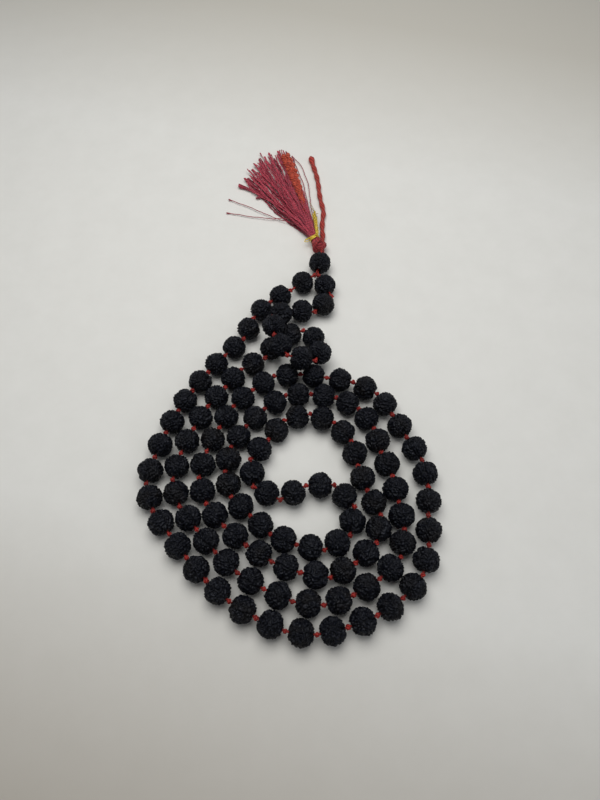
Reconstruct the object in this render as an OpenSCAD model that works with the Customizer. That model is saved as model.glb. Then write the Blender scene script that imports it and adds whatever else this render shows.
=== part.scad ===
// A 108-bead mala laid down in a spiral, with its meru bead and silk tassel.
// Millimetres. The tabletop is z = 0, the tassel points along +Y, and the origin is the
// middle of the space that the whole mala covers.
//
// The strand is a chain of hand-tied knots with one bead on each straight stretch of cord
// between two knots. ROUTE says roughly where the strand lies; the chain then settles, so
// that the beads rest on the table or on each other and none shares another's space.

/* [Beads] */
// Diameter of a strand bead
bead_d = 8.3; // [8:0.1:8.4]
// Length of a strand bead along its bore
bead_len = 7.8; // [7.4:0.1:7.8]
// Bore of a strand bead
bead_bore = 1.5; // [1.3:0.1:1.8]
// Width of the countersunk mouth of a strand bead's bore
bead_mouth = 2.6; // [2.2:0.1:2.8]
// Diameter of the meru bead
meru_d = 8.5; // [8.2:0.1:8.7]
// Length of the meru bead along its bore
meru_len = 8; // [7.6:0.1:8.1]
// Bore of the meru bead, which passes both strands
meru_bore = 2.4; // [2.1:0.1:2.6]
// Width of the countersunk mouth of the meru bead's bore
meru_mouth = 3.2; // [2.8:0.1:3.3]

/* [Cord] */
// Thickness of the stringing cord
cord_d = 1; // [0.8:0.1:1.1]
// Thickness of a spacer knot
knot_d = 1.9; // [1.6:0.1:2]
// Shortest distance between two knots of the strand
pitch_min = 8.7; // [8.6:0.1:8.8]
// Longest distance between two knots of the strand
pitch_max = 9.3; // [9.2:0.1:9.6]
// Longest distance between the two knots at each end of the strand
end_pitch = 11.5; // [11:0.1:12]
// Thickness of the two strands together where they leave the meru bead
stem_d = 1.8; // [1.6:0.1:1.9]

/* [Tassel] */
// Diameter of the large knot at the head of the tassel
head_d = 5.6; // [5.2:0.1:5.6]
// Thickness of the bundle of threads where the gold thread binds it
neck_d = 3.4; // [3:0.1:3.4]
// Thickness of the gold binding
gold_d = 0.8; // [0.6:0.1:0.8]
// Thickness of the loose tail cord
tail_d = 1.9; // [1.6:0.1:1.9]
// Thickness of the fused end of the tail cord
tail_end_d = 2.6; // [2.2:0.1:2.6]

/* [Hidden] */
$fn = 48;

// Count of strand beads, and how many at each end of the strand are pieces of their own
BEADS = 108;
LOOSE = 23;

// Where the strand lies: bead number, x, y, and how far that bead is lifted off the table.
// Numbers 0.5 and 108.5 are the two knots under the meru bead.
ROUTE = [
    [0.5, 9.5, 31.5, 0], [1, 6, 26, 0], [2, -2, 21, 0], [3, -10, 15, 0], [4, -14, 6, 0],
    [6, -25, -8, 0], [8, -35, -21, 0], [11, -44, -46, 0], [13, -38, -63, 0],
    [16, -21, -84, 0], [18, -4, -93, 0], [20, 14, -95, 0], [22, 30, -88, 0],
    [24, 41, -74, 0], [27, 45, -47, 0], [29, 37, -31, 0], [31, 26, -17, 0],
    [34, -1, -12, 0], [36, -15, -21, 0], [39, -27, -44, 0], [42, -16, -67, 0],
    [44, 0, -77, 0], [46, 18, -79, 0], [48, 28, -65, 0], [50, 23, -49, 0],
    [52, 17, -32, 0], [54, 1, -25, 0], [56, -8, -39, 0], [57, -11, -47, 0],
    [58, -7, -55, 0], [60, 10, -52, 0], [61, 18, -55, 0], [62, 20, -63, 0],
    [63, 15, -70, 0], [65, -1, -69, 0], [67, -15, -58, 0], [69, -20, -43, 0],
    [71, -11, -28, 0], [73, 3, -19, 0], [75, 20, -21, 0], [77, 29, -35, 0],
    [80, 35, -61, 0], [82, 31, -76, 0], [84, 16, -87, 0], [86, -2, -85, 0],
    [88, -19, -76, 0], [91, -35, -54, 0], [93, -33, -35, 0], [96, -18, -13, 0],
    [98, -6, -4, 0], [99, 0, 4, 0], [100, 8, 3, 0], [101, 13, -5, 0], [102, 5, -9, 3],
    [103, -2, -5, 7], [104, -6, 3, 5], [105, -2, 12, 1], [106, 5, 13, 0],
    [107, 12, 18, 0], [108, 13, 26, 0], [108.5, 11, 31.5, 0]
];

// The loose tail cord's route, from the head knot to its fused end
TAIL_ROUTE = [
    [12.8, 49.1, 1.6], [13, 50.6, 1.4], [13.1, 52.3, 1.2], [13, 55, 1], [13, 58.5, 1],
    [13.3, 62, 1], [13.6, 65, 1], [13.2, 68, 1], [12.6, 71, 1], [12.2, 74, 1], [11.9, 77, 1],
    [11.7, 80, 1], [11.3, 83, 1], [10.8, 86, 1], [10.1, 89, 1], [9.5, 91.5, 1]
];

// Fixed places: the centres of the meru bead and of the tassel's head knot
MERU_AT = [11.6, 37, meru_d / 2];
HEAD_AT = [11.4, 46.3, 2.9];
// Where the gold thread binds the neck, where the skirt starts, and the skirt's three tips
BIND_AT = [9.8, 50, 2.8];
SKIRT_AT = [9.1, 51.8, 2.6];
SKIRT_TIPS = [[-17.5, 83, 1.2], [-11, 94, 1.3], [-7, 97, 1.3]];
// Where the orange yarn comes out of the skirt, and its tip
YARN_FROM = [9, 62, 1.2];
YARN_TIP = [-1.8, 96.5, 1.5];
// The ends of the bunch of loose gold thread
GOLD_FROM = [11.8, 52.6, 3.7];
GOLD_TIP = [10.2, 66, 0.9];
// The end of the tail cord's fused blob
TAIL_TIP = [8.7, 95.4, 1.4];

// Clearance between pieces that move against each other
CLEAR = 0.12;
// How much wider than the stem its bend is
SWELL = 0.35;
// Beads settle until this far apart, middle to middle
TOUCH = bead_d + CLEAR;
// Rounds of settling, and how far a lifted bead drops in the first of them
ROUNDS = 150;
DROP = 0.1;
// How much of a wrong length the cord takes up in a round, and the last rounds, in which
// that eases off so that the beads end up clear of each other
TAKE_UP = 0.4;
EASE = 40;

function mid(a, b) = (a + b) / 2;
function unit(v) = v / norm(v);
function total(v) = len(v) == 0 ? [0, 0, 0] : [for (x = v) 1] * v;
function place(row) = [row[1], row[2], row[3]];

// The place on the route of bead number k, on a smooth curve through the rows
function row_before(k) = max([for (s = [0 : len(ROUTE) - 2]) if (ROUTE[s][0] <= k) s]);
function slope(a, b) = (place(b) - place(a)) / (b[0] - a[0]);
function on_route(k) =
    let (
        s = row_before(k),
        a = ROUTE[s],
        b = ROUTE[s + 1],
        before = ROUTE[max(s - 1, 0)],
        after = ROUTE[min(s + 2, len(ROUTE) - 1)],
        h = b[0] - a[0],
        t = (k - a[0]) / h
    )
    (2 * t^3 - 3 * t^2 + 1) * place(a) + (t^3 - 2 * t^2 + t) * h * slope(before, b)
    + (3 * t^2 - 2 * t^3) * place(b) + (t^3 - t^2) * h * slope(a, after);

// Knot k as laid down, before settling. Knots 0 and BEADS are held.
function on_table(p) = [p[0], p[1], max(p[2], bead_d / 2)];
LAID = [
    for (k = [0 : BEADS])
        let (p = on_route(k + 0.5))
        [p[0], p[1], max(p[2], 0) + bead_d / 2]
];

// For each bead, the beads that it could meet while the chain settles
NEAR = [
    for (i = [0 : BEADS - 1])
        let (p = mid(LAID[i], LAID[i + 1]))
        [for (j = [0 : BEADS - 1]) if (j != i && norm(p - mid(LAID[j], LAID[j + 1])) < 3 * bead_d) j]
];

// How far bead a is pushed off bead b, and how far knot a is pulled towards knot b
function shove(a, b) = let (d = norm(a - b)) d >= TOUCH ? [0, 0, 0] : (a - b) * (TOUCH - d) / d / 2;
function pull(a, b, longest) =
    let (d = norm(b - a))
    (b - a) / d * (max(d - longest, 0) - max(pitch_min - d, 0));
function longest(i) = i == 0 || i == BEADS - 1 ? end_pitch : pitch_max;

function settled(k, left) =
    left == 0 ? k :
    let (
        c = [for (i = [0 : BEADS - 1]) mid(k[i], k[i + 1])],
        push = [for (i = [0 : BEADS - 1]) total([for (j = NEAR[i]) shove(c[i], c[j])])],
        fall = [0, 0, -DROP * max(0, (left / ROUNDS - 0.4) / 0.6)],
        grip = TAKE_UP * min(left / EASE, 1)
    )
    settled([
        for (i = [0 : BEADS])
            i == 0 || i == BEADS ? k[i] :
            on_table(k[i] + push[i - 1] + push[i] + fall
                + grip * (pull(k[i], k[i - 1], longest(i - 1)) + pull(k[i], k[i + 1], longest(i))))
    ], left - 1);

KNOTS = settled(LAID, ROUNDS);

function numbered(n) = str(n < 10 ? "00" : n < 100 ? "0" : "", n);
function bead_name(n) = str("bead_", numbered(n));
// Beads that are pieces of their own, and the two runs of beads between them
OWN = [for (n = [1 : LOOSE]) n, for (n = [BEADS - LOOSE + 1 : BEADS]) n];
HALF_WAY = BEADS / 2;
RUNS = [[LOOSE + 1, HALF_WAY], [HALF_WAY + 1, BEADS - LOOSE]];
RUN_NAMES = [for (r = RUNS) str("beads_", numbered(r[0]), "_to_", numbered(r[1]))];

// Turns the children's Z axis along v and moves them to p
module set_at(p, v) {
    translate(p)
        rotate([0, acos(v[2] / norm(v)), atan2(v[1], v[0])])
            children();
}

module rod(a, b, d) {
    set_at(a, b - a)
        cylinder(d = d, h = norm(b - a));
}

module ball(p, d) {
    translate(p)
        sphere(d = d);
}

// A seed bead: a round body cut flat at both ends of a true bore with countersunk mouths
module bored_bead(d, length, bore, mouth) {
    sink = (mouth - bore) / 2;
    rotate_extrude()
        difference() {
            intersection() {
                circle(d = d);
                translate([bore / 2, -length / 2])
                    square([d, length]);
            }
            for (side = [-1, 1])
                scale([1, side])
                    polygon([
                        [0, length / 2 - sink], [bore / 2, length / 2 - sink],
                        [mouth / 2, length / 2], [0, length / 2]
                    ]);
        }
}

module strand_bead(n) {
    color([0.12, 0.12, 0.14])
        set_at(mid(KNOTS[n - 1], KNOTS[n]), KNOTS[n] - KNOTS[n - 1])
            bored_bead(bead_d, bead_len, bead_bore, bead_mouth);
}

module bead_run(r) {
    for (n = [r[0] : r[1]])
        strand_bead(n);
}

// A tube with eight sides swept along a list of points
SIDES = 8;
function along(p, i) = unit(p[min(i + 1, len(p) - 1)] - p[max(i - 1, 0)]);
function ring(p, i, d) =
    let (v = along(p, i), side = unit(cross(v, [0, 0, 1])), up = cross(side, v))
    [for (s = [0 : SIDES - 1]) p[i] + d / 2 * (cos(360 * s / SIDES) * side + sin(360 * s / SIDES) * up)];
module tube(p, d) {
    last = (len(p) - 1) * SIDES;
    polyhedron(
        [for (i = [0 : len(p) - 1]) each ring(p, i, d)],
        concat(
            [[for (s = [0 : SIDES - 1]) s]],
            [for (i = [0 : len(p) - 2], s = [0 : SIDES - 1])
                let (a = i * SIDES + s, b = i * SIDES + (s + 1) % SIDES)
                [a, a + SIDES, b + SIDES, b]],
            [[for (s = [SIDES - 1 : -1 : 0]) last + s]]
        )
    );
}

// The cord from the second knot round to the last but one, bent only inside its knots
STRUNG = [for (i = [1 : BEADS - 1]) KNOTS[i]];
module stringing_cord() {
    color([0.72, 0.13, 0.13])
        tube(STRUNG, cord_d);
}

module spacer_knots() {
    color([0.76, 0.14, 0.12])
        for (p = STRUNG)
            ball(p, knot_d);
}

// One end of the loop: the cord through its last bead, up to its half of the double knot
module end_strand(from, to) {
    set_at(to, from - to)
        rotate_extrude()
            intersection() {
                union() {
                    circle(d = knot_d);
                    square([cord_d / 2, norm(to - from) - knot_d / 2 - CLEAR]);
                }
                translate([0, -knot_d])
                    square([knot_d, norm(to - from) + knot_d]);
            }
}

module loop_end_cord() {
    color([0.72, 0.13, 0.13]) {
        end_strand(KNOTS[1], KNOTS[0]);
        end_strand(KNOTS[BEADS - 1], KNOTS[BEADS]);
    }
}

// Both strands together, through the meru bead and on to the tassel's head knot
PAIR_AT = mid(KNOTS[0], KNOTS[BEADS]);
MERU_AXIS = unit(MERU_AT - PAIR_AT);
STEM_BEND = MERU_AT + MERU_AXIS * (meru_len / 2 + 1.2);
HEAD_AXIS = unit(HEAD_AT - STEM_BEND);
module meru_stem() {
    color([0.72, 0.13, 0.13]) {
        rod(PAIR_AT + MERU_AXIS * (knot_d / 2 + 3 * CLEAR), STEM_BEND - MERU_AXIS * SWELL, stem_d);
        ball(STEM_BEND, stem_d + SWELL);
        rod(STEM_BEND + HEAD_AXIS * SWELL, HEAD_AT - HEAD_AXIS * (head_d / 2 + CLEAR), stem_d);
    }
}

module meru_bead() {
    color([0.12, 0.12, 0.14])
        set_at(MERU_AT, MERU_AXIS)
            bored_bead(meru_d, meru_len, meru_bore, meru_mouth);
}

module head_knot() {
    color([0.66, 0.16, 0.2])
        ball(HEAD_AT, head_d);
}

// The bundle of silk threads: a round neck, then a flat fan
NECK_AXIS = unit(BIND_AT - HEAD_AT);
module tassel_skirt() {
    color([0.62, 0.15, 0.25]) {
        rod(HEAD_AT + NECK_AXIS * (head_d / 2 + CLEAR), SKIRT_AT, neck_d);
        hull() {
            ball(SKIRT_AT, neck_d + 0.6, $fn = 32);
            for (tip = SKIRT_TIPS)
                translate(tip)
                    scale([1, 1, 0.6])
                        sphere(d = 4, $fn = 32);
        }
    }
}

module orange_yarn() {
    color([0.78, 0.28, 0.18])
        hull() {
            ball(YARN_FROM, 1.6, $fn = 32);
            translate(YARN_TIP)
                scale([1, 1, 0.7])
                    sphere(d = 3.8, $fn = 32);
        }
}

// The gold thread round the tassel's neck, with room for the threads inside it
module gold_binding() {
    color([0.85, 0.7, 0.15])
        set_at(BIND_AT, NECK_AXIS)
            rotate_extrude()
                translate([neck_d / 2 + CLEAR + gold_d / 2, 0])
                    circle(d = gold_d, $fn = 24);
}

module gold_ends() {
    color([0.85, 0.7, 0.15])
        set_at(GOLD_FROM, GOLD_TIP - GOLD_FROM)
            cylinder(d1 = 1.4, d2 = 1, h = norm(GOLD_TIP - GOLD_FROM));
}

module tail_cord() {
    color([0.72, 0.26, 0.22])
        tube(TAIL_ROUTE, tail_d);
}

// The fused blob: a short taper from the cord, then a round end
TAIL_LAST = TAIL_ROUTE[len(TAIL_ROUTE) - 1];
module tail_end() {
    reach = norm(TAIL_TIP - TAIL_LAST) - tail_end_d / 2;
    color([0.74, 0.28, 0.22])
        set_at(TAIL_LAST, TAIL_TIP - TAIL_LAST) {
            cylinder(d1 = tail_d, d2 = tail_end_d, h = reach);
            translate([0, 0, reach])
                sphere(d = tail_end_d);
        }
}

stringing_cord();
spacer_knots();
loop_end_cord();
meru_stem();
meru_bead();
head_knot();
tassel_skirt();
orange_yarn();
gold_binding();
gold_ends();
tail_cord();
tail_end();
for (i = [0 : len(RUNS) - 1])
    bead_run(RUNS[i]);
for (n = OWN)
    strand_bead(n);
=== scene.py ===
"""Mala prayer beads: the visual model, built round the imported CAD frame.

All shapes are worked out in millimetres, in the frame of the CAD model, and become metres
when their mesh is made. +Z is up, the tabletop is z = 0, and the tassel points along +Y.
"""

import bpy
import numpy as np
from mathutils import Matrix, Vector


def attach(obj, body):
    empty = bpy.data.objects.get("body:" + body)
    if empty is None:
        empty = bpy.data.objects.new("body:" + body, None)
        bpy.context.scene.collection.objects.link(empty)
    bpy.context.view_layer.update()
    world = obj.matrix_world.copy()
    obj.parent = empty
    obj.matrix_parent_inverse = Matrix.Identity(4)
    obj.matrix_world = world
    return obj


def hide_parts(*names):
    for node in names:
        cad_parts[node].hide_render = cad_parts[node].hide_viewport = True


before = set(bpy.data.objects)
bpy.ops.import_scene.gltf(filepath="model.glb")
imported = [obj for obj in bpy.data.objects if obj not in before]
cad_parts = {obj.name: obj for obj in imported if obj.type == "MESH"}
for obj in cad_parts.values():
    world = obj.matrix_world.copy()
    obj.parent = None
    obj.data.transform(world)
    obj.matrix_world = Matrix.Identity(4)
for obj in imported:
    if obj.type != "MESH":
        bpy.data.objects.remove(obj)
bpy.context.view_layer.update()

MM = 0.001

# ---------------------------------------------------------------- camera

CAMERA_AT = (4.0, -109.0, 190.2)
CAMERA_TARGET = (4.0, -21.0, 4.0)
LENS = 27.05


def add_camera():
    data = bpy.data.cameras.new("camera")
    data.lens = LENS
    data.clip_start = 0.01
    camera = bpy.data.objects.new("camera", data)
    camera.location = Vector(CAMERA_AT) * MM
    look = (Vector(CAMERA_TARGET) - Vector(CAMERA_AT)).to_track_quat("-Z", "Y")
    camera.rotation_euler = look.to_euler()
    bpy.context.scene.collection.objects.link(camera)
    bpy.context.scene.camera = camera


# ---------------------------------------------------------------- meshes


def unit(v):
    v = np.asarray(v, float)
    return v / np.linalg.norm(v, axis=-1, keepdims=True)


def smoothstep(x, low, high):
    t = np.clip((x - low) / (high - low), 0, 1)
    return t * t * (3 - 2 * t)


def add_mesh(name, points, faces, material, tints, uvs=None, tone=None):
    """A smooth piece from points in millimetres. tints and tone are numbers for each point."""
    mesh = bpy.data.meshes.new(name)
    mesh.from_pydata(np.asarray(points) * MM, [], faces)
    mesh.attributes.new("tint", "FLOAT", "POINT").data.foreach_set("value", tints)
    if tone is not None:
        mesh.attributes.new("tone", "FLOAT", "POINT").data.foreach_set("value", tone)
    if uvs is not None:
        mesh.uv_layers.new(name="thread").data.foreach_set("uv", np.ravel(uvs))
    mesh.shade_smooth()
    mesh.materials.append(material)
    piece = bpy.data.objects.new(name, mesh)
    bpy.context.scene.collection.objects.link(piece)
    return piece


def curve_through(points, spacing):
    """Points every so many millimetres along a smooth curve through the given ones."""
    points = np.asarray(points, float)
    padded = np.vstack([2 * points[0] - points[1], points, 2 * points[-1] - points[-2]])
    fine = []
    for a, b, c, d in zip(padded, padded[1:], padded[2:], padded[3:]):
        t = np.linspace(0, 1, 24, endpoint=False)[:, None]
        fine.append(
            0.5
            * (
                2 * b
                + (c - a) * t
                + (2 * a - 5 * b + 4 * c - d) * t**2
                + (3 * b - a - 3 * c + d) * t**3
            )
        )
    fine = np.vstack(fine + [points[-1:]])
    return resample(fine, spacing)


def resample(path, spacing):
    run = np.concatenate([[0], np.cumsum(np.linalg.norm(np.diff(path, axis=0), axis=1))])
    stops = np.linspace(0, run[-1], max(3, int(run[-1] / spacing) + 1))
    return np.column_stack([np.interp(stops, run, path[:, i]) for i in range(3)])


def frames_along(path):
    """Two unit vectors across the path at each of its points, with no twist between them."""
    ahead = unit(np.gradient(path, axis=0))
    start = np.cross(ahead[0], [0.0, 0.0, 1.0])
    if np.linalg.norm(start) < 0.1:
        start = np.cross(ahead[0], [1.0, 0.0, 0.0])
    sides = [unit(start)]
    for v in ahead[1:]:
        s = sides[-1] - v * np.dot(sides[-1], v)
        sides.append(unit(s))
    sides = np.array(sides)
    return sides, np.cross(ahead, sides)


class Tubes:
    """Tubes gathered into one mesh, each with rounded ends."""

    def __init__(self):
        self.points, self.faces, self.uvs, self.tints = [], [], [], []
        self.count = 0

    def add(self, path, radius, sides=8, plies=0, pitch=3.0, depth=0.3, tint=0.5, turn=0.0):
        """A tube along path. With plies it is that many strands twisted together."""
        path = np.asarray(path, float)
        radius = np.broadcast_to(np.asarray(radius, float), (len(path),))
        ahead = unit(path[-1] - path[-2])
        back = unit(path[0] - path[1])
        first, last = radius[0], radius[-1]
        path = np.vstack(
            [path[0] + back * first * 0.75, path[0] + back * first * 0.45, path,
             path[-1] + ahead * last * 0.45, path[-1] + ahead * last * 0.75]
        )
        radius = np.concatenate(
            [[first * 0.35, first * 0.8], radius, [last * 0.8, last * 0.35]]
        )
        side, up = frames_along(path)
        run = np.concatenate([[0], np.cumsum(np.linalg.norm(np.diff(path, axis=0), axis=1))])
        angle = 2 * np.pi * np.arange(sides) / sides
        r = np.repeat(radius[:, None], sides, axis=1)
        if plies:
            lobe = plies * (angle[None] - turn) - 2 * np.pi * run[:, None] / pitch
            r = r * (1 - depth * (0.5 - 0.5 * np.cos(lobe)))
        rings = (
            path[:, None]
            + r[..., None] * np.cos(angle)[None, :, None] * side[:, None]
            + r[..., None] * np.sin(angle)[None, :, None] * up[:, None]
        )
        n = len(path)
        i = np.arange(n - 1)[:, None]
        s = np.arange(sides)[None]
        a = i * sides + s
        b = i * sides + (s + 1) % sides
        quads = np.stack([a, b, b + sides, a + sides], axis=-1).reshape(-1, 4)
        low = s / sides + 0 * i
        high = (s + 1) / sides + 0 * i
        v0 = run[:-1, None] + 0 * s
        v1 = run[1:, None] + 0 * s
        uv = np.stack(
            [np.stack([low, v0], -1), np.stack([high, v0], -1),
             np.stack([high, v1], -1), np.stack([low, v1], -1)], axis=-2
        ).reshape(-1, 4, 2)
        ends = [list(range(sides - 1, -1, -1)), list(range((n - 1) * sides, n * sides))]
        self.points.append(rings.reshape(-1, 3))
        self.faces += [tuple(f) for f in (quads + self.count).tolist()]
        self.faces += [tuple(k + self.count for k in f) for f in ends]
        self.uvs.append(uv.reshape(-1, 2))
        self.uvs.append(np.tile([[0.5, run[0]]], (sides, 1)))
        self.uvs.append(np.tile([[0.5, run[-1]]], (sides, 1)))
        self.tints.append(np.full(n * sides, tint))
        self.count += n * sides

    def make(self, name, material):
        return add_mesh(
            name, np.vstack(self.points), self.faces, material,
            np.concatenate(self.tints), np.vstack(self.uvs),
        )


# ---------------------------------------------------------------- materials


class Shader:
    """A Principled material with its nodes made by short calls."""

    def __init__(self, name, **settings):
        self.material = bpy.data.materials.new(name)
        self.material.use_nodes = True
        self.tree = self.material.node_tree
        self.surface = self.tree.nodes["Principled BSDF"]
        for socket, value in settings.items():
            self.surface.inputs[socket.replace("_", " ")].default_value = value

    def node(self, kind, links=(), **settings):
        made = self.tree.nodes.new(kind)
        for key, value in settings.items():
            setattr(made, key, value)
        for socket, value in dict(links).items():
            target = made.inputs[socket]
            if isinstance(value, bpy.types.NodeSocket):
                self.tree.links.new(value, target)
            else:
                target.default_value = value
        return made

    def number(self, name):
        return self.node("ShaderNodeAttribute", attribute_name=name).outputs["Fac"]

    def noise(self, scale, detail=3.0, roughness=0.55):
        at = self.node("ShaderNodeTexCoord").outputs["Object"]
        links = {"Vector": at, "Scale": scale, "Detail": detail, "Roughness": roughness}
        return self.node("ShaderNodeTexNoise", links).outputs["Fac"]

    def math(self, kind, a, b=0.0, c=0.0):
        return self.node("ShaderNodeMath", {0: a, 1: b, 2: c}, operation=kind).outputs[0]

    def spread(self, value, low, high):
        links = {"Value": value, "From Min": low, "From Max": high}
        return self.node("ShaderNodeMapRange", links).outputs["Result"]

    def mix(self, factor, a, b, blend="MIX"):
        links = {0: factor, 6: a, 7: b}
        return self.node("ShaderNodeMix", links, data_type="RGBA", blend_type=blend).outputs[2]

    def colour(self, socket):
        self.tree.links.new(socket, self.surface.inputs["Base Color"])

    def rough(self, value, low, high):
        links = {"Value": value, "To Min": low, "To Max": high}
        out = self.node("ShaderNodeMapRange", links).outputs["Result"]
        self.tree.links.new(out, self.surface.inputs["Roughness"])

    def bump(self, height, distance, strength=1.0):
        links = {"Height": height, "Distance": distance, "Strength": strength}
        normal = self.node("ShaderNodeBump", links).outputs["Normal"]
        self.tree.links.new(normal, self.surface.inputs["Normal"])


def rgb(r, g, b):
    return (r, g, b, 1.0)


def seed_material():
    """Oiled, blackened seed, with painted shade: dark crevices and lighter charcoal ridge tops; a
    few browner patches.
    """
    # Specular_Tint gives the reflections a painted bluish cast, which stands in for bluish light
    # from above
    s = Shader("seed", Specular_IOR_Level=0.25, Specular_Tint=rgb(0.83, 0.87, 1.0))
    ridge = s.number("tone")
    tint = s.number("tint")
    fine = s.noise(2600.0, 4.0, 0.65)
    patch = s.spread(s.noise(240.0, 2.0), 0.42, 0.62)
    # painted shade: low tone, in the crevices and towards the bore, gets the darker colour, and
    # ridge tops the lighter
    charcoal = s.mix(ridge, rgb(0.0003, 0.0004, 0.001), rgb(0.0029, 0.0037, 0.0078))
    brown = s.mix(ridge, rgb(0.0007, 0.0006, 0.0007), rgb(0.0072, 0.0058, 0.0052))
    browner = s.math("MULTIPLY", patch, s.spread(tint, 0.35, 0.85))
    base = s.mix(browner, charcoal, brown)
    speck = s.mix(s.spread(fine, 0.35, 0.75), rgb(0.7, 0.7, 0.7), rgb(1.25, 1.25, 1.25))
    s.colour(s.mix(1.0, base, speck, "MULTIPLY"))
    s.rough(s.math("MULTIPLY_ADD", fine, 0.5, s.math("MULTIPLY", ridge, -0.3)), 0.42, 0.72)
    s.bump(fine, 0.00009, 0.9)
    return s.material


def thread_material(name, deep, bright, plies, pitch, rough, sheen, sheen_tint):
    """Twisted fibre. deep and bright are the colours between which the strands vary."""
    s = Shader(name, Sheen_Weight=sheen, Sheen_Roughness=0.4, Sheen_Tint=sheen_tint,
               Specular_IOR_Level=0.35)
    uv = s.node("ShaderNodeUVMap", uv_map="thread").outputs["UV"]
    parts = s.node("ShaderNodeSeparateXYZ", {"Vector": uv})
    along = s.math("DIVIDE", parts.outputs["Y"], pitch)
    turns = s.math("MULTIPLY_ADD", parts.outputs["X"], float(plies), along)
    wave = s.math("SINE", s.math("MULTIPLY", turns, 2 * np.pi))
    lay = s.math("MULTIPLY_ADD", wave, 0.5, 0.5)
    fuzz = s.noise(3200.0, 4.0, 0.7)
    shade = s.noise(350.0, 2.0)
    mixed = s.math("MULTIPLY_ADD", shade, 0.5, s.math("MULTIPLY", s.number("tint"), 0.75))
    base = s.mix(s.spread(mixed, 0.2, 0.9), deep, bright)
    # painted shade and highlight: the colour is darkened in the grooves between twisted plies and
    # lightened on their crowns
    painted_ply_shading = s.mix(lay, rgb(0.45, 0.42, 0.45), rgb(1.15, 1.15, 1.15))
    base = s.mix(1.0, base, painted_ply_shading, "MULTIPLY")
    grain = s.mix(s.spread(fuzz, 0.3, 0.7), rgb(0.75, 0.75, 0.75), rgb(1.2, 1.2, 1.2))
    s.colour(s.mix(1.0, base, grain, "MULTIPLY"))
    s.rough(fuzz, rough - 0.1, rough + 0.15)
    s.bump(s.math("MULTIPLY_ADD", fuzz, 0.35, lay), 0.00008, 0.9)
    return s.material


def gold_material(name, deep, bright):
    """A worn strip of gilt metal, wound round a yarn core."""
    s = Shader(name, Metallic=0.4, Specular_IOR_Level=0.8)
    uv = s.node("ShaderNodeUVMap", uv_map="thread").outputs["UV"]
    parts = s.node("ShaderNodeSeparateXYZ", {"Vector": uv})
    turns = s.math("ADD", parts.outputs["X"], s.math("DIVIDE", parts.outputs["Y"], 0.32))
    edge = s.math("ABSOLUTE", s.math("SINE", s.math("MULTIPLY", turns, np.pi)))
    wear = s.noise(900.0, 3.0)
    base = s.mix(s.spread(wear, 0.35, 0.7), deep, bright)
    s.colour(s.mix(s.spread(edge, 0.0, 0.35), rgb(0.16, 0.085, 0.012), base))
    s.rough(wear, 0.22, 0.42)
    s.bump(edge, 0.00005, 0.7)
    return s.material


# Painted shade: the floor grows darker and warmer past these two distances from the middle,
# in metres, towards the viewer and away, along a line that slants by so much of X
SHADE_NEAR, SHADE_FAR, SLANT = (0.075, 0.2), (0.1, 0.2), 0.26


def floor_material():
    """Pale, slightly mottled paper, with painted shade: darker and warmer towards the viewer and
    away.
    """
    s = Shader("floor", Specular_IOR_Level=0.2)
    grain = s.noise(90.0, 6.0, 0.65)
    paper = s.mix(grain, rgb(0.765, 0.765, 0.733), rgb(0.845, 0.845, 0.817))
    where = s.node("ShaderNodeTexCoord").outputs["Object"]
    parts = s.node("ShaderNodeSeparateXYZ", {"Vector": where})
    aslant = s.math("MULTIPLY_ADD", parts.outputs["X"], SLANT, parts.outputs["Y"])
    # painted shade: near and far are masks that darken and warm the paper colour towards the viewer
    # and away
    near = s.spread(s.math("MULTIPLY", aslant, -1.0), *SHADE_NEAR)
    far = s.spread(aslant, *SHADE_FAR)
    paper = s.mix(near, paper, rgb(0.4, 0.355, 0.29))
    s.colour(s.mix(far, paper, rgb(0.65, 0.63, 0.57)))
    s.rough(grain, 0.7, 0.85)
    return s.material


SEED = seed_material()
RED_THREAD = thread_material(
    "red_thread", rgb(0.19, 0.01, 0.009), rgb(0.46, 0.028, 0.022), 2, 1.3, 0.55, 0.15,
    rgb(1.0, 0.5, 0.4))
KNOT_THREAD = thread_material(
    "knot_thread", rgb(0.26, 0.02, 0.03), rgb(0.5, 0.055, 0.055), 2, 1.1, 0.6, 0.3,
    rgb(1.0, 0.6, 0.6))
SILK = thread_material(
    "silk", rgb(0.24, 0.018, 0.04), rgb(0.64, 0.072, 0.115), 2, 1.2, 0.44, 0.55,
    rgb(1.0, 0.62, 0.7))
ORANGE = thread_material(
    "orange_thread", rgb(0.4, 0.035, 0.02), rgb(0.66, 0.10, 0.05), 2, 1.4, 0.6, 0.3,
    rgb(1.0, 0.7, 0.6))
TAIL = thread_material(
    "tail_thread", rgb(0.3, 0.025, 0.022), rgb(0.52, 0.058, 0.042), 5, 2.2, 0.6, 0.3,
    rgb(1.0, 0.7, 0.6))
GOLD = gold_material("gold", rgb(0.74, 0.5, 0.03), rgb(1.0, 0.8, 0.1))
DULL_GOLD = gold_material("dull_gold", rgb(0.25, 0.16, 0.03), rgb(0.55, 0.42, 0.10))

# ---------------------------------------------------------------- loose tail cord

# The tail cord's route, as in part.scad, in metres
TAIL_ROUTE = [
    (0.0128, 0.0491, 0.0016), (0.013, 0.0506, 0.0014), (0.0131, 0.0523, 0.0012),
    (0.013, 0.055, 0.001), (0.013, 0.0585, 0.001), (0.0133, 0.062, 0.001),
    (0.0136, 0.065, 0.001), (0.0132, 0.068, 0.001), (0.0126, 0.071, 0.001),
    (0.0122, 0.074, 0.001), (0.0119, 0.077, 0.001), (0.0117, 0.08, 0.001),
    (0.0113, 0.083, 0.001), (0.0108, 0.086, 0.001), (0.0101, 0.089, 0.001),
    (0.0095, 0.0915, 0.001),
]
TAIL_TIP = (8.7, 95.4, 1.4)
# How far the tail's two strands reach from its middle where they stand highest
TAIL_LOBES = 1.08
TAIL_BLOB = 1.3


def route_length(points):
    return float(np.linalg.norm(np.diff(points, axis=0), axis=1).sum())


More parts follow.
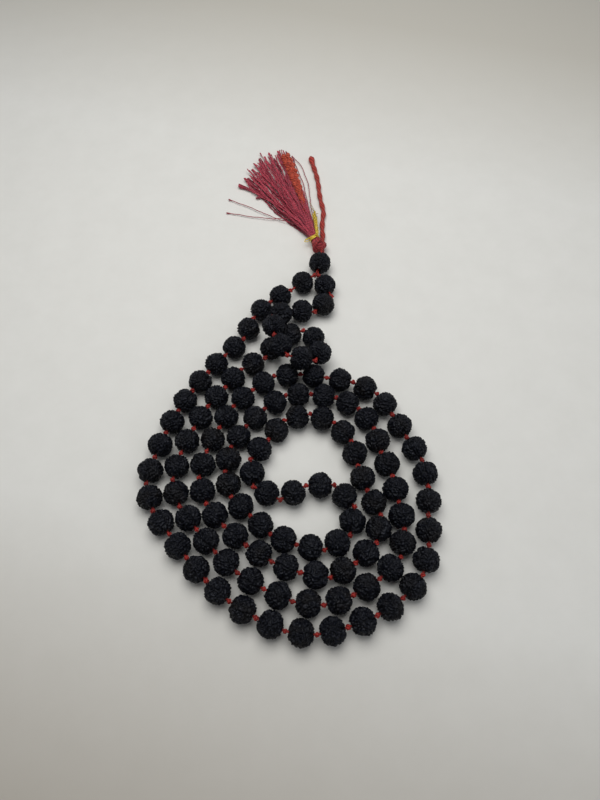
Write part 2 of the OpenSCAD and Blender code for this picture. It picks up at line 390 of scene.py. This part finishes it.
def add_tail_cord():
    """A cord of two twisted strands, and the fused lump that ends it."""
    route = np.array(TAIL_ROUTE) / MM
    path = curve_through(route, 0.22)
    path[:, 2] = np.maximum(path[:, 2], TAIL_LOBES + 0.01)
    cord = Tubes()
    cord.add(path, TAIL_LOBES, sides=20, plies=2, pitch=5.2, depth=0.32, tint=0.45)
    tail = cord.make("tail_cord_twist", TAIL)

    end = np.linspace(path[-1], np.array(TAIL_TIP), 22)
    t = np.linspace(0, 1, len(end))
    swell = TAIL_LOBES + (TAIL_BLOB - TAIL_LOBES) * smoothstep(t, 0.0, 0.55)
    swell *= np.sqrt(np.clip(1 - smoothstep(t, 0.72, 1.12) ** 1.5, 0.1, 1))
    blob = Tubes()
    blob.add(end, swell, sides=20, plies=2, pitch=6.5, depth=0.16, tint=0.7, turn=1.1)
    tip = blob.make("tail_fused_end", TAIL)

    for made, node in ((tail, "tail_cord"), (tip, "tail_end")):
        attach(made, "tail")
        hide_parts(node)


# ---------------------------------------------------------------- the strand's route

BEADS = 108
BEAD_D, BEAD_LEN, BEAD_BORE = 8.3, 7.8, 1.5
MERU_D, MERU_LEN, MERU_BORE = 8.5, 8.0, 2.4
PITCH_MIN, PITCH_MAX, END_PITCH = 8.7, 9.3, 11.5
TOUCH = BEAD_D + 0.12
ROUNDS = 150
DROP = 0.1
TAKE_UP = 0.4
EASE = 40

# Where the strand lies, as in part.scad: bead number, x, y, and how far it is lifted
ROUTE = [
    [0.5, 9.5, 31.5, 0], [1, 6, 26, 0], [2, -2, 21, 0], [3, -10, 15, 0], [4, -14, 6, 0],
    [6, -25, -8, 0], [8, -35, -21, 0], [11, -44, -46, 0], [13, -38, -63, 0],
    [16, -21, -84, 0], [18, -4, -93, 0], [20, 14, -95, 0], [22, 30, -88, 0],
    [24, 41, -74, 0], [27, 45, -47, 0], [29, 37, -31, 0], [31, 26, -17, 0],
    [34, -1, -12, 0], [36, -15, -21, 0], [39, -27, -44, 0], [42, -16, -67, 0],
    [44, 0, -77, 0], [46, 18, -79, 0], [48, 28, -65, 0], [50, 23, -49, 0],
    [52, 17, -32, 0], [54, 1, -25, 0], [56, -8, -39, 0], [57, -11, -47, 0],
    [58, -7, -55, 0], [60, 10, -52, 0], [61, 18, -55, 0], [62, 20, -63, 0],
    [63, 15, -70, 0], [65, -1, -69, 0], [67, -15, -58, 0], [69, -20, -43, 0],
    [71, -11, -28, 0], [73, 3, -19, 0], [75, 20, -21, 0], [77, 29, -35, 0],
    [80, 35, -61, 0], [82, 31, -76, 0], [84, 16, -87, 0], [86, -2, -85, 0],
    [88, -19, -76, 0], [91, -35, -54, 0], [93, -33, -35, 0], [96, -18, -13, 0],
    [98, -6, -4, 0], [99, 0, 4, 0], [100, 8, 3, 0], [101, 13, -5, 0], [102, 5, -9, 3],
    [103, -2, -5, 7], [104, -6, 3, 5], [105, -2, 12, 1], [106, 5, 13, 0],
    [107, 12, 18, 0], [108, 13, 26, 0], [108.5, 11, 31.5, 0],
]


def on_route(k):
    """The place of bead number k on a smooth curve through the rows of ROUTE."""
    rows = np.array(ROUTE)
    s = min(int(np.searchsorted(rows[:, 0], k, side="right")) - 1, len(rows) - 2)
    a, b = rows[s], rows[s + 1]
    before, after = rows[max(s - 1, 0)], rows[min(s + 2, len(rows) - 1)]
    h = b[0] - a[0]
    t = (k - a[0]) / h
    leave = (b - before)[1:] / (b[0] - before[0]) * h
    arrive = (after - a)[1:] / (after[0] - a[0]) * h
    return (
        (2 * t**3 - 3 * t**2 + 1) * a[1:] + (t**3 - 2 * t**2 + t) * leave
        + (3 * t**2 - 2 * t**3) * b[1:] + (t**3 - t**2) * arrive
    )


def settled_knots():
    """The chain of knots, laid on the route and settled as in part.scad."""
    knots = np.array([on_route(k + 0.5) for k in range(BEADS + 1)])
    knots[:, 2] = np.maximum(knots[:, 2], 0) + BEAD_D / 2
    longest = np.full(BEADS, PITCH_MAX)
    longest[[0, -1]] = END_PITCH
    for left in range(ROUNDS, 0, -1):
        middles = (knots[1:] + knots[:-1]) / 2
        apart = middles[:, None] - middles[None]
        distance = np.linalg.norm(apart, axis=2)
        np.fill_diagonal(distance, np.inf)
        overlap = np.maximum(TOUCH - distance, 0) / 2
        push = (apart / distance[..., None] * overlap[..., None]).sum(1)
        link = np.diff(knots, axis=0)
        length = np.linalg.norm(link, axis=1)
        stretch = np.maximum(length - longest, 0) - np.maximum(PITCH_MIN - length, 0)
        grip = TAKE_UP * min(left / EASE, 1)
        pull = link / length[:, None] * grip * stretch[:, None]
        move = np.zeros_like(knots)
        move[:-1] += push + pull
        move[1:] += push - pull
        move[:, 2] -= DROP * max(0, (left / ROUNDS - 0.4) / 0.6)
        move[[0, -1]] = 0
        knots = knots + move
        knots[:, 2] = np.maximum(knots[:, 2], BEAD_D / 2)
    return knots


KNOTS = settled_knots()
MERU_AT = np.array([11.6, 37.0, MERU_D / 2])
PAIR_AT = (KNOTS[0] + KNOTS[-1]) / 2
MERU_AXIS = unit(MERU_AT - PAIR_AT)
HEAD_AT = np.array([11.4, 46.3, 2.9])

# ---------------------------------------------------------------- beads

AROUND, DOWN, INSIDE = 156, 80, 4
# How far the knobs stand out of the smooth bead of the CAD model, and how deep the relief is
PROUD, RELIEF = 0.12, 0.55


def waves(points, length, count, rng):
    """Smooth random numbers with about that wavelength, 0 on average, 1 in spread."""
    k = unit(rng.normal(size=(count, 3))) * 2 * np.pi / length
    k *= rng.uniform(0.82, 1.18, (count, 1))
    phase = rng.uniform(0, 2 * np.pi, count)
    return np.cos(points @ k.T + phase).sum(1) * np.sqrt(2 / count)


# Wavelengths of a seed's winding ridges, of the knobs on them, of their fine grit, of the
# bends in all of these, and of the lumps of the seed as a whole
WORM, KNOB, GRIT, BEND, LUMP = 1.15, 0.85, 0.5, 2.4, 3.6
# Half the width of the seams between a seed's mukhis
SEAM = 0.24


def seed_relief(base, rng, mukhis):
    """How high each point of a seed stands: winding ridges with knobs, cut by a few seams."""
    warp = np.stack([waves(base, BEND, 8, rng) for _ in range(3)], -1) * 0.14
    worm = waves(base + warp, WORM, 26, rng)
    knobs = waves(base + warp, KNOB, 24, rng)
    grit = waves(base, GRIT, 18, rng)
    body = np.tanh(1.3 * (0.75 * worm + 0.6 * knobs + 0.15))
    height = 0.45 + 0.4 * body + 0.16 * np.maximum(knobs, -0.5) + 0.035 * grit
    seams = np.arange(mukhis) * 2 * np.pi / mukhis + rng.uniform(-0.12, 0.12, mukhis)
    angle = np.arctan2(base[:, 1], base[:, 0])
    sway = 0.09 * np.sin(base[:, 2] * 1.1 + rng.uniform(0, 6.28))
    near = np.abs((angle[:, None] - seams[None] - sway[:, None] + np.pi) % (2 * np.pi) - np.pi)
    gap = near.min(1) * np.hypot(base[:, 0], base[:, 1])
    groove = np.exp(-((gap / SEAM) ** 2))
    return height * (1 - 0.5 * groove) - 0.25 * groove


def seed_surface(rng, diameter, length, bore, mukhis):
    """Points of one bored seed round Z, its quads, and how high each point stands on a ridge."""
    wide = diameter / 2 + PROUD
    tall = (wide + length / 2 + PROUD) / 2
    rim = bore / 2 + 0.06
    polar = np.linspace(np.arcsin(rim / wide), np.pi - np.arcsin(rim / wide), DOWN)
    across = wide * np.sin(polar)
    up = tall * np.cos(polar)
    up = up - np.sign(up) * 0.42 * np.exp(-(((across - rim) / 0.45) ** 2))
    inner = np.linspace(up[-1] + 0.1, up[0] - 0.1, INSIDE)
    across = np.concatenate([across, np.full(INSIDE, bore / 2)])
    up = np.concatenate([up, inner])
    turn = 2 * np.pi * np.arange(AROUND) / AROUND
    flat = np.stack([np.cos(turn), np.sin(turn)], -1)
    points = np.empty((len(up), AROUND, 3))
    points[..., :2] = across[:, None, None] * flat[None]
    points[..., 2] = up[:, None]
    base = points[:DOWN].reshape(-1, 3)

    height = seed_relief(base, rng, mukhis)
    lumps = waves(base, LUMP, 8, rng)
    edge = smoothstep(np.hypot(base[:, 0], base[:, 1]), rim + 0.05, rim + 0.7)
    depth = RELIEF * (0.2 + 0.8 * edge)
    sunk = depth * (np.clip(height, -0.2, 1.15) - 1.0) + 0.07 * (lumps - 1) * edge
    moved = base + unit(base) * sunk[:, None]
    points[:DOWN] = moved.reshape(DOWN, AROUND, 3)
    # tone is each point's ridge height, lower towards the bore; the seed material paints low tone
    # darker, as painted shade
    tone = np.zeros((len(up), AROUND))
    tone[:DOWN] = np.clip(height * (0.3 + 0.7 * edge), 0, 1).reshape(DOWN, AROUND)

    j = np.arange(len(up))[:, None]
    i = np.arange(AROUND)[None]
    here, right = j * AROUND + i, j * AROUND + (i + 1) % AROUND
    lower = (j + 1) % len(up) * AROUND
    quads = np.stack([here, lower + i, lower + (i + 1) % AROUND, right], -1)
    return points.reshape(-1, 3), quads.reshape(-1, 4), tone.ravel()


def turned_to(points, centre, axis, spin):
    """Points with their Z axis turned along axis, spun about it, and moved to centre."""
    axis = unit(axis)
    x = unit(np.cross([0.13, 0.21, 0.97], axis))
    y = np.cross(axis, x)
    c, s = np.cos(spin), np.sin(spin)
    basis = np.stack([c * x + s * y, c * y - s * x, axis])
    return points @ basis + centre


def add_bead(name, number, centre, axis, body, node, diameter, length, bore):
    rng = np.random.default_rng(1000 + number)
    size = rng.uniform(0.985, 1.01)
    mukhis = rng.choice([4, 5, 5, 6])
    points, quads, tone = seed_surface(rng, diameter * size, length, bore, mukhis)
    squash = 1 - rng.uniform(0, 0.02) * np.abs(unit(rng.normal(size=3)))
    squash[2] = 1
    points = turned_to(points * squash, centre, axis, rng.uniform(0, 6.28))
    points[:, 2] = np.maximum(points[:, 2], 0.01)
    tints = np.full(len(points), rng.uniform(0, 1))
    piece = add_mesh(name, points, quads, SEED, tints, tone=tone)
    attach(piece, body)
    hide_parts(node)


LOOSE = 23


def add_beads():
    for n in range(1, BEADS + 1):
        a, b = KNOTS[n - 1], KNOTS[n]
        if n <= LOOSE or n > BEADS - LOOSE:
            body, node = f"own_bead_{n:03d}", f"bead_{n:03d}"
        else:
            body = "strand"
            node = "beads_024_to_054" if n <= BEADS // 2 else "beads_055_to_085"
        sizes = BEAD_D, BEAD_LEN, BEAD_BORE
        add_bead(f"seed_{n:03d}", n, (a + b) / 2, b - a, body, node, *sizes)
    sizes = MERU_D, MERU_LEN, MERU_BORE
    add_bead("seed_meru", BEADS + 1, MERU_AT, MERU_AXIS, "meru", "meru_bead", *sizes)


# ---------------------------------------------------------------- stringing cord and knots

CORD_RADIUS = 0.42


def knot_path(centre, axis, roll, size):
    """A small overhand knot: a band that weaves twice round the cord, crossing itself."""
    t = np.linspace(0, 4 * np.pi, 57)
    out = (0.39 + 0.2 * np.cos(1.5 * t)) * size
    local = np.stack([out * np.cos(t), out * np.sin(t), 0.36 * size * np.sin(1.5 * t)], -1)
    return turned_to(local, centre, axis, roll)


def add_knot(tubes, rng, centre, axis):
    roll = rng.uniform(0, 6.28)
    size = rng.uniform(0.92, 1.08)
    path = knot_path(centre, axis, roll, size)
    tubes.add(path, 0.3 * size, sides=8, tint=rng.uniform(0.3, 1.0))


def add_stringing():
    """The cord through every bead between the second knot and the last but one."""
    rng = np.random.default_rng(7)
    cord = Tubes()
    cord.add(resample(KNOTS[1:-1], 0.6), CORD_RADIUS, sides=8, plies=2, pitch=1.8, depth=0.2)
    strand = cord.make("cord_through_beads", RED_THREAD)
    knots = Tubes()
    for k in range(1, BEADS):
        add_knot(knots, rng, KNOTS[k], KNOTS[k + 1] - KNOTS[k - 1])
    tied = knots.make("overhand_knots", RED_THREAD)
    for made, node in ((strand, "stringing_cord"), (tied, "spacer_knots")):
        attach(made, "strand")
        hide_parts(node)


def add_loop_end():
    """The two ends of the loop, tied together under the meru bead."""
    rng = np.random.default_rng(8)
    ends = Tubes()
    for near, tie in ((KNOTS[1], KNOTS[0]), (KNOTS[-2], KNOTS[-1])):
        start = near + unit(tie - near) * 1.0
        ends.add(resample(np.array([start, tie]), 0.4), CORD_RADIUS, 8, 2, 1.8, 0.2)
        add_knot(ends, rng, tie - [0, 0, 0.4], tie - near)
    piece = ends.make("double_knot", RED_THREAD)
    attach(piece, "loop_end")
    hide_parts("loop_end_cord")


def add_stem():
    """Both strands, twisted together, through the meru bead and up to the tassel."""
    low = np.array([0, 0, 0.4])
    mouth = MERU_AT - MERU_AXIS * MERU_LEN / 2
    bend = MERU_AT + MERU_AXIS * 4.8
    spine = curve_through([PAIR_AT + MERU_AXIS * 1.1 - low, mouth - low, MERU_AT, bend,
                           HEAD_AT + unit(bend - HEAD_AT) * 1.6], 0.3)
    side, up = frames_along(spine)
    turn = np.linspace(0, 9.0, len(spine))[:, None]
    reach = 0.3 + 0.14 * smoothstep(np.linspace(0, 1, len(spine)), 0.4, 0.7)[:, None]
    stem = Tubes()
    for phase in (0, np.pi):
        around = reach * (np.cos(turn + phase) * side + np.sin(turn + phase) * up)
        stem.add(spine + around, reach[:, 0], 10, 2, 1.8, 0.2, 0.5)
    piece = stem.make("paired_strands", RED_THREAD)
    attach(piece, "stem")
    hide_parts("meru_stem")


# ---------------------------------------------------------------- tassel

NECK_AT = np.array([9.8, 50.0, 2.8])
NECK_AXIS = unit(NECK_AT - HEAD_AT)

# The line along which the skirt's threads end, from its left edge to its right
TIPS = [(-20.5, 83.0), (-16.5, 87.5), (-12.5, 93.5), (-9.0, 96.5), (-6.0, 97.5), (-3.8, 99.0),
        (-1.6, 97.5), (0.5, 95.5)]
LOCKS = 42
# A lock that bends away from the left edge, and a short one below it
BENT_LOCKS = [
    (7, 0.3, [(-2.0, 64.0, 1.6), (-10.9, 73.9, 1.2), (-15.5, 76.6, 1.2), (-21.2, 79.3, 1.2)]),
    (3, 0.2, [(-1.5, 62.5, 1.4), (-8.8, 71.9, 1.1), (-11.2, 73.0, 1.1), (-13.8, 72.9, 0.9)]),
]
# Single threads that strayed from the fan
STRAYS = [
    [(8.6, 54.0, 2.6), (2.0, 58.5, 1.6), (-6.2, 62.2, 1.1), (-16.6, 68.0, 0.9), (-25.4, 72.3, 0.7)],
    [(8.4, 54.0, 2.2), (-0.1, 61.1, 1.2), (-8.2, 61.9, 1.0), (-16.4, 63.2, 0.8), (-25.9, 65.3, 0.6)],
    [(10.0, 55.0, 1.8), (8.1, 72.3, 1.2), (7.8, 77.8, 1.2), (6.5, 84.5, 1.0), (4.0, 92.0, 0.9),
     (0.5, 96.7, 0.7)],
    [(9.9, 55.0, 1.6), (7.0, 71.0, 1.1), (5.3, 81.0, 1.0), (2.6, 90.0, 0.8), (1.2, 95.2, 0.7)],
    [(9.0, 57.0, 1.6), (-3.0, 79.0, 1.4), (-10.0, 92.0, 1.2), (-13.2, 98.2, 1.0)],
]
THREAD_RADIUS = 0.18


def crinkle(path, rng, amount):
    """A thread's own small waves, which fade out at its root."""
    run = np.concatenate([[0], np.cumsum(np.linalg.norm(np.diff(path, axis=0), axis=1))])
    fade = smoothstep(run, 0.0, 6.0)[:, None]
    side, up = frames_along(path)
    bent = path.copy()
    for length in (2.3, 4.1, 9.0):
        a, b = rng.uniform(0, 6.28, 2)
        across = np.sin(2 * np.pi * run / length + a)[:, None] * side
        above = np.sin(2 * np.pi * run / length + b)[:, None] * up
        bent += fade * amount * (length / 6) * (across + 0.6 * above)
    bent[:, 2] = np.maximum(bent[:, 2], THREAD_RADIUS + 0.03)
    return bent


def add_thread(threads, rng, root, through, tint, wave=0.13, club=0.4):
    """One silk thread from inside the head knot, through the given places to its tip."""
    side = unit(np.cross(NECK_AXIS, [0, 0, 1]))
    ring, off = rng.uniform(0, 6.28), 1.3 * np.sqrt(rng.uniform())
    gather = off * (np.cos(ring) * side + np.sin(ring) * np.array([0, 0, 1.0]))
    path = curve_through([root + gather * 0.8, NECK_AT + gather, *through], 0.8)
    path = crinkle(path, rng, wave)
    t = np.linspace(0, 1, len(path))
    radius = THREAD_RADIUS * rng.uniform(0.85, 1.15) * (1 + club * smoothstep(t, 0.96, 1.0))
    threads.add(path, radius, sides=6, tint=np.clip(tint + rng.normal() * 0.2, 0, 1))


def add_skirt():
    """The silk threads: many small locks fanned out flat, which cross and end unevenly."""
    rng = np.random.default_rng(21)
    threads = Tubes()
    root = HEAD_AT + NECK_AXIS * 1.6
    tips = resample(np.array([(x, y, 1.1) for x, y in TIPS]), 0.1)
    for lock in range(LOCKS):
        along = (lock + rng.uniform(0, 1)) / LOCKS
        tip = tips[int(along * (len(tips) - 1))].copy()
        toward = unit(tip - NECK_AT)
        across = unit(np.cross(toward, [0, 0, 1]))
        tip -= toward * max(-1.0, min(4.5, rng.normal() * 1.9))
        bow = across * rng.normal() * 0.9
        cross_over = across * rng.normal() * 0.8
        lay = rng.uniform(0, 1)
        tone = rng.uniform(0.1, 0.9)
        for _ in range(rng.integers(2, 5)):
            end = tip + across * rng.normal() * 0.32 + toward * rng.normal() * 0.45
            end[2] = 0.35 + 1.3 * lay + rng.uniform(0, 0.3)
            span = end - NECK_AT
            early = NECK_AT + span * 0.22 + cross_over * 0.5 + across * rng.normal() * 0.35
            early[2] = 0.5 + 3.4 * lay
            middle = NECK_AT + span * 0.52 + cross_over + across * rng.normal() * 0.35
            middle[2] = 0.4 + 2.5 * lay
            late = NECK_AT + span * 0.82 + bow * 0.4 + across * rng.normal() * 0.3
            late[2] = 0.35 + 1.8 * lay
            add_thread(threads, rng, root, [early, middle, late, end], tone)
    for count, spread, points in BENT_LOCKS:
        for _ in range(count):
            shift = rng.normal(size=3) * spread
            add_thread(threads, rng, root, np.array(points) + shift, 0.5, wave=0.06, club=1.1)
    for points in STRAYS:
        path = crinkle(curve_through(points, 0.9), rng, 0.05)
        t = np.linspace(0, 1, len(path))
        threads.add(path, THREAD_RADIUS * (0.85 + 0.9 * smoothstep(t, 0.95, 1.0)), 6, tint=0.4)
    piece = threads.make("silk_threads", SILK)
    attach(piece, "skirt")
    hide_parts("tassel_skirt")


def add_orange_yarn():
    """A soft yarn of three twisted plies along the skirt's right edge."""
    rng = np.random.default_rng(22)
    spine = curve_through(
        [(8.2, 57.5, 3.0), (5.9, 66.1, 3.0), (3.7, 74.8, 2.8), (1.6, 82.5, 2.6),
         (-0.6, 90.3, 2.4), (-2.6, 97.2, 2.0)], 0.45)
    side, up = frames_along(spine)
    t = np.linspace(0, 1, len(spine))
    run = t * route_length(spine)
    wide = 0.4 + 1.9 * smoothstep(t, 0.0, 0.8)
    wide = wide * (1 - 0.25 * smoothstep(t, 0.95, 1.0))
    yarn = Tubes()
    for ply in range(3):
        turn = 2 * np.pi * (ply / 3 + run / 10.0)
        around = np.cos(turn)[:, None] * side + 0.5 * np.sin(turn)[:, None] * up
        centre = spine + (0.5 * wide)[:, None] * around
        for strand in range(8):
            turn = 2 * np.pi * (strand / 8 - run / 4.2) + rng.uniform(-0.3, 0.3)
            around = np.cos(turn)[:, None] * side + 0.7 * np.sin(turn)[:, None] * up
            off = wide * rng.uniform(0.3, 0.5)
            path = centre + off[:, None] * around
            path[:, 2] = np.maximum(path[:, 2], 0.3)
            keep = int(len(path) * rng.uniform(0.95, 1.0))
            radius = (0.14 + 0.07 * wide)[:keep]
            yarn.add(crinkle(path[:keep], rng, 0.05), radius, 6, tint=rng.uniform(0, 1))
    piece = yarn.make("loose_orange_yarn", ORANGE)
    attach(piece, "skirt")
    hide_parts("orange_yarn")


def add_head_knot():
    """A bundle of threads tied in an overhand knot, pulled into a ball."""
    rng = np.random.default_rng(23)
    t = np.linspace(0, 4 * np.pi, 180)
    out = 1.55 + 0.74 * np.cos(1.5 * t)
    local = np.stack([out * np.cos(t), out * np.sin(t), 1.75 * np.sin(1.5 * t)], -1)
    spine = turned_to(local, HEAD_AT, NECK_AXIS + [0.25, 0.0, 0.2], 0.7)
    side, up = frames_along(spine)
    knot = Tubes()
    strands = 10
    for strand in range(strands):
        ring = 2 * np.pi * strand / strands
        angle = ring + np.linspace(0, 9.0, len(spine)) + 0.25 * np.sin(5 * t + strand)
        off = 0.62 if strand else 0.0
        across = np.cos(angle)[:, None] * side + np.sin(angle)[:, None] * up
        path = spine + off * across
        path[:, 2] = np.maximum(path[:, 2], 0.35)
        knot.add(path, 0.28, 7, tint=rng.uniform(0, 1))
    core = np.linspace(HEAD_AT - NECK_AXIS * 1.9, HEAD_AT + NECK_AXIS * 1.9, 9)
    knot.add(core, np.array([0.8, 1.3, 1.7, 1.95, 2.0, 1.9, 1.6, 1.4, 1.3]), 16, tint=0.0)
    piece = knot.make("bundle_knot", KNOT_THREAD)
    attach(piece, "tassel")
    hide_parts("head_knot")


def add_gold_thread():
    """Gold thread wound round the neck, a slack loop of it, and its gathered ends."""
    rng = np.random.default_rng(24)
    side = unit(np.cross(NECK_AXIS, [0, 0, 1]))
    up = np.cross(side, NECK_AXIS)
    winding = Tubes()
    turns = 3.2
    t = np.linspace(0, 1, 110)
    ring = 2 * np.pi * turns * t
    radius = 1.72 + 0.14 * np.sin(2.7 * np.pi * t)
    path = (
        NECK_AT + (t[:, None] - 0.5) * NECK_AXIS * 1.3
        + radius[:, None] * (np.cos(ring)[:, None] * side + np.sin(ring)[:, None] * up)
    )
    winding.add(path, 0.2, 8, 2, 0.9, 0.25, 0.5)
    loop = curve_through(
        [(10.8, 50.4, 4.7), (9.3, 49.9, 4.5), (7.5, 49.5, 3.5), (6.1, 49.3, 2.7),
         (5.8, 48.8, 2.5), (7.0, 48.5, 2.9), (8.9, 48.8, 4.2), (10.3, 49.5, 4.7)], 0.2)
    winding.add(loop, 0.17, 8, 2, 0.9, 0.25, 0.5)
    winding.add(loop[: len(loop) // 2] + [0.1, 0.32, 0.1], 0.16, 8, 2, 0.9, 0.25, 0.5)
    bound = winding.make("gold_winding", GOLD)
    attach(bound, "skirt")
    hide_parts("gold_binding")

    spine = curve_through(
        [(10.5, 49.8, 4.9), (10.7, 52.0, 4.6), (10.6, 54.8, 4.2), (10.4, 57.8, 3.8),
         (10.1, 61.0, 3.2), (9.7, 64.2, 2.7)], 0.2)
    side, up = frames_along(spine)
    s = np.linspace(0, 1, len(spine))
    bunch = Tubes()
    for strand in range(8):
        angle = 2 * np.pi * strand / 8 + 9.0 * s + 0.8 * np.sin(16 * s + 2 * strand)
        off = (0.42 + 0.4 * s) * (1 + 0.3 * np.sin(22 * s + 3 * strand))
        across = np.cos(angle)[:, None] * side + np.sin(angle)[:, None] * up
        keep = int(len(spine) * rng.uniform(0.75, 1.0))
        bunch.add((spine + off[:, None] * across)[:keep], 0.18, 8, 2, 0.9, 0.25, rng.uniform())
    ends = bunch.make("gold_bunch", GOLD)
    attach(ends, "skirt")
    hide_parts("gold_ends")

    fray = Tubes()
    for tip in [(11.4, 64.0, 1.6), (9.6, 64.2, 2.3), (8.4, 66.6, 2.3), (7.8, 69.6, 2.2),
                (10.6, 62.4, 1.9), (11.0, 61.6, 2.4), (9.0, 62.2, 2.9)]:
        start = spine[-6] + rng.normal(size=3) * 0.2
        middle = (start + np.array(tip)) / 2 + rng.normal(size=3) * 0.25
        fray.add(curve_through([start, middle, tip], 0.3), 0.11, 6, tint=rng.uniform())
    loose = fray.make("gold_fray", DULL_GOLD)
    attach(loose, "skirt")


# ---------------------------------------------------------------- floor and light


def add_stage():
    size = 3000.0
    floor = bpy.data.meshes.new("floor")
    corners = [(-size, -size, 0), (size, -size, 0), (size, size, 0), (-size, size, 0)]
    floor.from_pydata([Vector(c) * MM for c in corners], [], [(0, 1, 2, 3)])
    floor.materials.append(floor_material())
    table = bpy.data.objects.new("floor", floor)
    bpy.context.scene.collection.objects.link(table)


def add_area(name, at, size, power, colour):
    data = bpy.data.lights.new(name, "AREA")
    data.shape = "RECTANGLE"
    data.size, data.size_y = size
    data.energy = power
    data.color = colour
    light = bpy.data.objects.new(name, data)
    light.location = Vector(at)
    look = (Vector((0.0, 0.0, 0.0)) - light.location).to_track_quat("-Z", "Y")
    light.rotation_euler = look.to_euler()
    bpy.context.scene.collection.objects.link(light)


def add_light():
    add_area("overhead", (-0.02, 0.07, 0.35), (0.33, 0.28), 1.04, (1.0, 0.99, 0.965))
    add_area("fill", (0.38, -0.12, 0.35), (0.4, 0.4), 0.3, (0.95, 0.97, 1.0))
    world = bpy.data.worlds.new("studio")
    world.use_nodes = True
    background = world.node_tree.nodes["Background"]
    background.inputs["Color"].default_value = rgb(0.97, 0.975, 1.0)
    background.inputs["Strength"].default_value = 0.145
    bpy.context.scene.world = world
    bpy.context.scene.view_settings.view_transform = "Standard"


# ---------------------------------------------------------------- everything

add_camera()
add_tail_cord()
add_stringing()
add_loop_end()
add_stem()
add_beads()
add_head_knot()
add_skirt()
add_orange_yarn()
add_gold_thread()
add_stage()
add_light()
